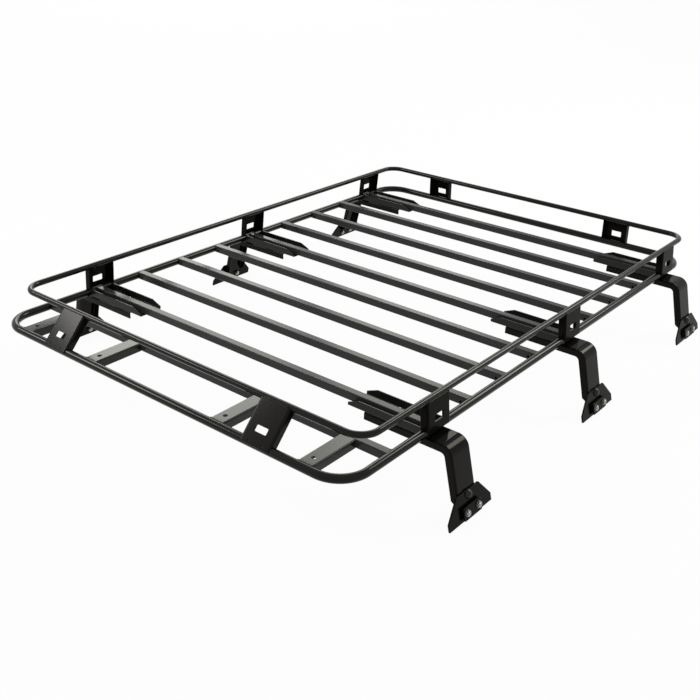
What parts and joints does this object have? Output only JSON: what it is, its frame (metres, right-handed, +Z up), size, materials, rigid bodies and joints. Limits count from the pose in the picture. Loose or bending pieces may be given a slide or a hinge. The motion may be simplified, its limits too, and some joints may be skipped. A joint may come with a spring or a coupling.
{
  "type": "expedition roof rack",
  "caption": "Flat steel roof basket of bent round tube and square cross slats, with a sloped nose, slotted strap plates and bent channel legs that clamp to rain gutters.",
  "frame": {"origin": "middle of the bounding box on the floor that the six feet stand on", "axes": "+X to the right-hand side, +Y towards the rear along the rack, +Z up; the sloped nose is at -Y"},
  "size_m": [1.6936, 2.0691, 0.326],
  "materials": {
    "tube_coat": "semi-gloss black powder coat",
    "plate_coat": "semi-gloss black powder coat",
    "zinc": "bright zinc plating",
    "cap": "black moulded plastic"
  },
  "bodies": {
    "root": {"clamp_bolts_left": "zinc", "clamp_bolts_right": "zinc", "clamps_left": "plate_coat", "clamps_right": "plate_coat", "foot_caps_left": "cap", "foot_caps_right": "cap", "foot_left_front": "plate_coat", "foot_left_middle": "plate_coat", "foot_left_rear": "plate_coat", "foot_right_front": "plate_coat", "foot_right_middle": "plate_coat", "foot_right_rear": "plate_coat", "left_gussets": "plate_coat", "left_slides": "plate_coat", "leg_left_front": "plate_coat", "leg_left_middle": "plate_coat", "leg_left_rear": "plate_coat", "leg_right_front": "plate_coat", "leg_right_middle": "plate_coat", "leg_right_rear": "plate_coat", "lower_front_bow": "tube_coat", "lower_left_rail": "tube_coat", "lower_rear_bow": "tube_coat", "lower_right_rail": "tube_coat", "nose_channels": "plate_coat", "nose_crossbar": "tube_coat", "nose_plates": "plate_coat", "rear_gussets": "plate_coat", "right_gussets": "plate_coat", "right_slides": "plate_coat", "slat_1": "tube_coat", "slat_2": "tube_coat", "slat_3": "tube_coat", "slat_4": "tube_coat", "slat_5": "tube_coat", "slat_6": "tube_coat", "slat_7": "tube_coat", "slat_8": "tube_coat", "slat_9": "tube_coat", "upper_front_bow": "tube_coat", "upper_left_rail": "tube_coat", "upper_rear_bow": "tube_coat", "upper_right_rail": "tube_coat"}
  },
  "joints": []
}
